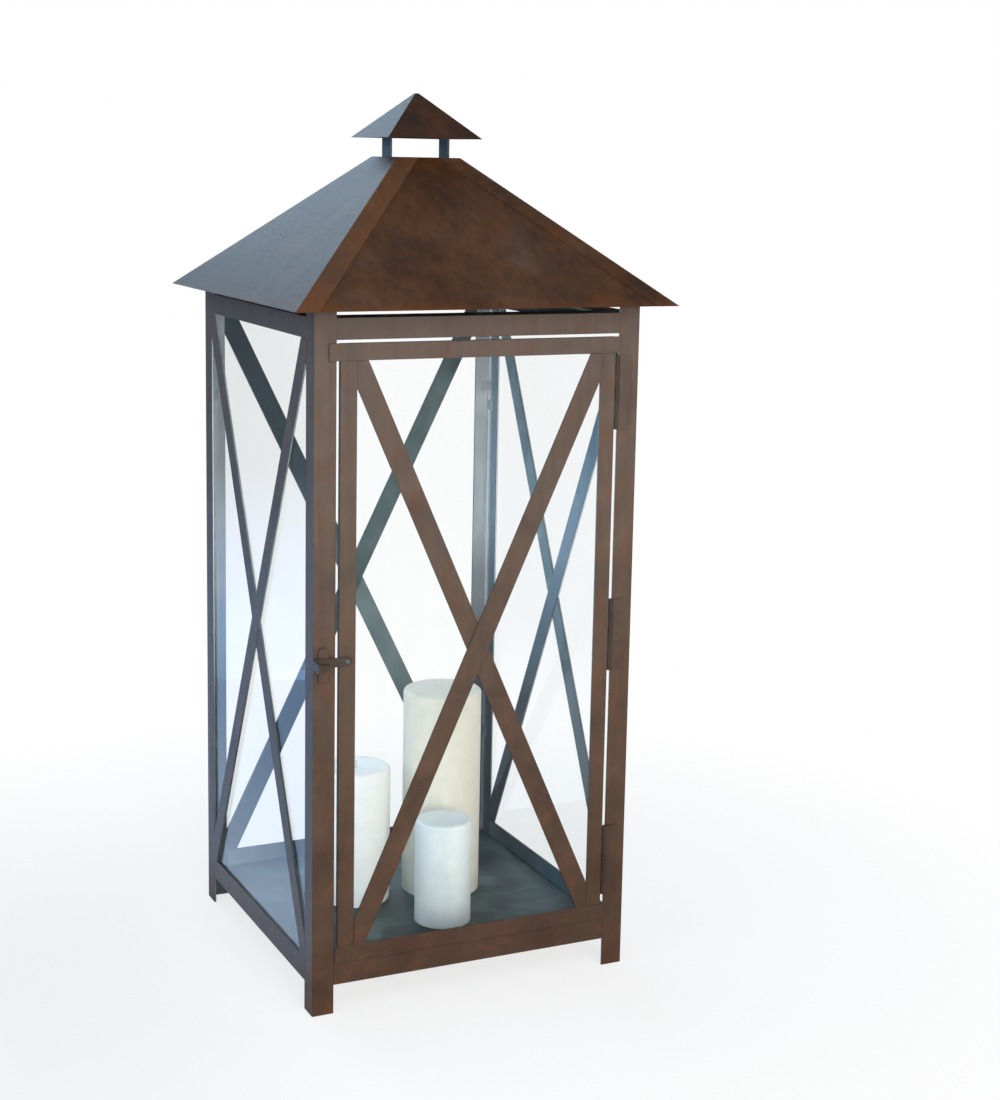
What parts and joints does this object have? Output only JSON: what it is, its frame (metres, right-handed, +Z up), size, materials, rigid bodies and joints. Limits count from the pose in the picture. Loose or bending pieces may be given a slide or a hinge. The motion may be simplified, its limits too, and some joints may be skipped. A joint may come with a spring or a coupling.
{
  "type": "floor lantern",
  "caption": "Tall square candle lantern of rust-brown angle iron with cross-braced glass sides, a hinged glass door with a drop latch, and a hipped roof with a chimney cap.",
  "frame": {"origin": "on the floor, under the middle of the square frame", "axes": "+Z up, the door faces -Y, its hinges are on +X and its latch is on -X"},
  "size_m": [0.5368, 0.5368, 1.2],
  "materials": {
    "patina_steel": "satin rust-brown patina",
    "roof_steel": "satin rust-brown patina with orange rust blooms",
    "floor_steel": "satin dark patina",
    "rivet_steel": "bare, worn bright",
    "clear_glass": "clear float",
    "candle_wax": "smooth ivory wax",
    "wick_cotton": "braided cotton"
  },
  "bodies": {
    "frame": {"bottom_rail_back": "patina_steel", "bottom_rail_front": "patina_steel", "bottom_rail_left": "patina_steel", "bottom_rail_right": "patina_steel", "brace_back_falling": "patina_steel", "brace_back_rising": "patina_steel", "brace_left_falling": "patina_steel", "brace_left_rising": "patina_steel", "brace_right_falling": "patina_steel", "brace_right_rising": "patina_steel", "candle_medium": "candle_wax", "candle_short": "candle_wax", "candle_tall": "candle_wax", "chimney_cap": "roof_steel", "chimney_strap_left": "roof_steel", "chimney_strap_right": "roof_steel", "floor_plate": "floor_steel", "glass_back": "clear_glass", "glass_clips_back": "patina_steel", "glass_clips_left": "patina_steel", "glass_clips_right": "patina_steel", "glass_left": "clear_glass", "glass_right": "clear_glass", "hinge_lower_pin": "patina_steel", "hinge_lower_post_leaf": "patina_steel", "hinge_middle_pin": "patina_steel", "hinge_middle_post_leaf": "patina_steel", "hinge_upper_pin": "patina_steel", "hinge_upper_post_leaf": "patina_steel", "latch_keeper": "patina_steel", "post_back_left": "patina_steel", "post_back_right": "patina_steel", "post_front_left": "patina_steel", "post_front_right": "patina_steel", "roof_panel_back": "roof_steel", "roof_panel_front": "roof_steel", "roof_panel_left": "roof_steel", "roof_panel_right": "roof_steel", "top_rail_back": "patina_steel", "top_rail_front": "patina_steel", "top_rail_left": "patina_steel", "top_rail_right": "patina_steel", "wick_medium": "wick_cotton", "wick_short": "wick_cotton", "wick_tall": "wick_cotton"},
    "door": {"door_brace_falling": "patina_steel", "door_brace_rising": "patina_steel", "door_glass": "clear_glass", "door_glass_clips": "patina_steel", "door_rail_bottom": "patina_steel", "door_rail_top": "patina_steel", "door_stile_hinge": "patina_steel", "door_stile_latch": "patina_steel", "hinge_lower_door_leaf": "patina_steel", "hinge_middle_door_leaf": "patina_steel", "hinge_upper_door_leaf": "patina_steel", "latch_rivet": "rivet_steel"},
    "latch": {"latch_bar": "patina_steel"}
  },
  "joints": [
    {"name": "door_hinge", "type": "hinge", "parent": "frame", "child": "door", "pos_m": [0.19675, -0.233, 0.4774], "axis": [0, 0, 1], "range_deg": [0, 160]},
    {"name": "latch_pivot", "type": "hinge", "parent": "door", "child": "latch", "pos_m": [-0.18475, -0.2351, 0.4774], "axis": [0, 1, 0], "range_deg": [0, 90]}
  ]
}
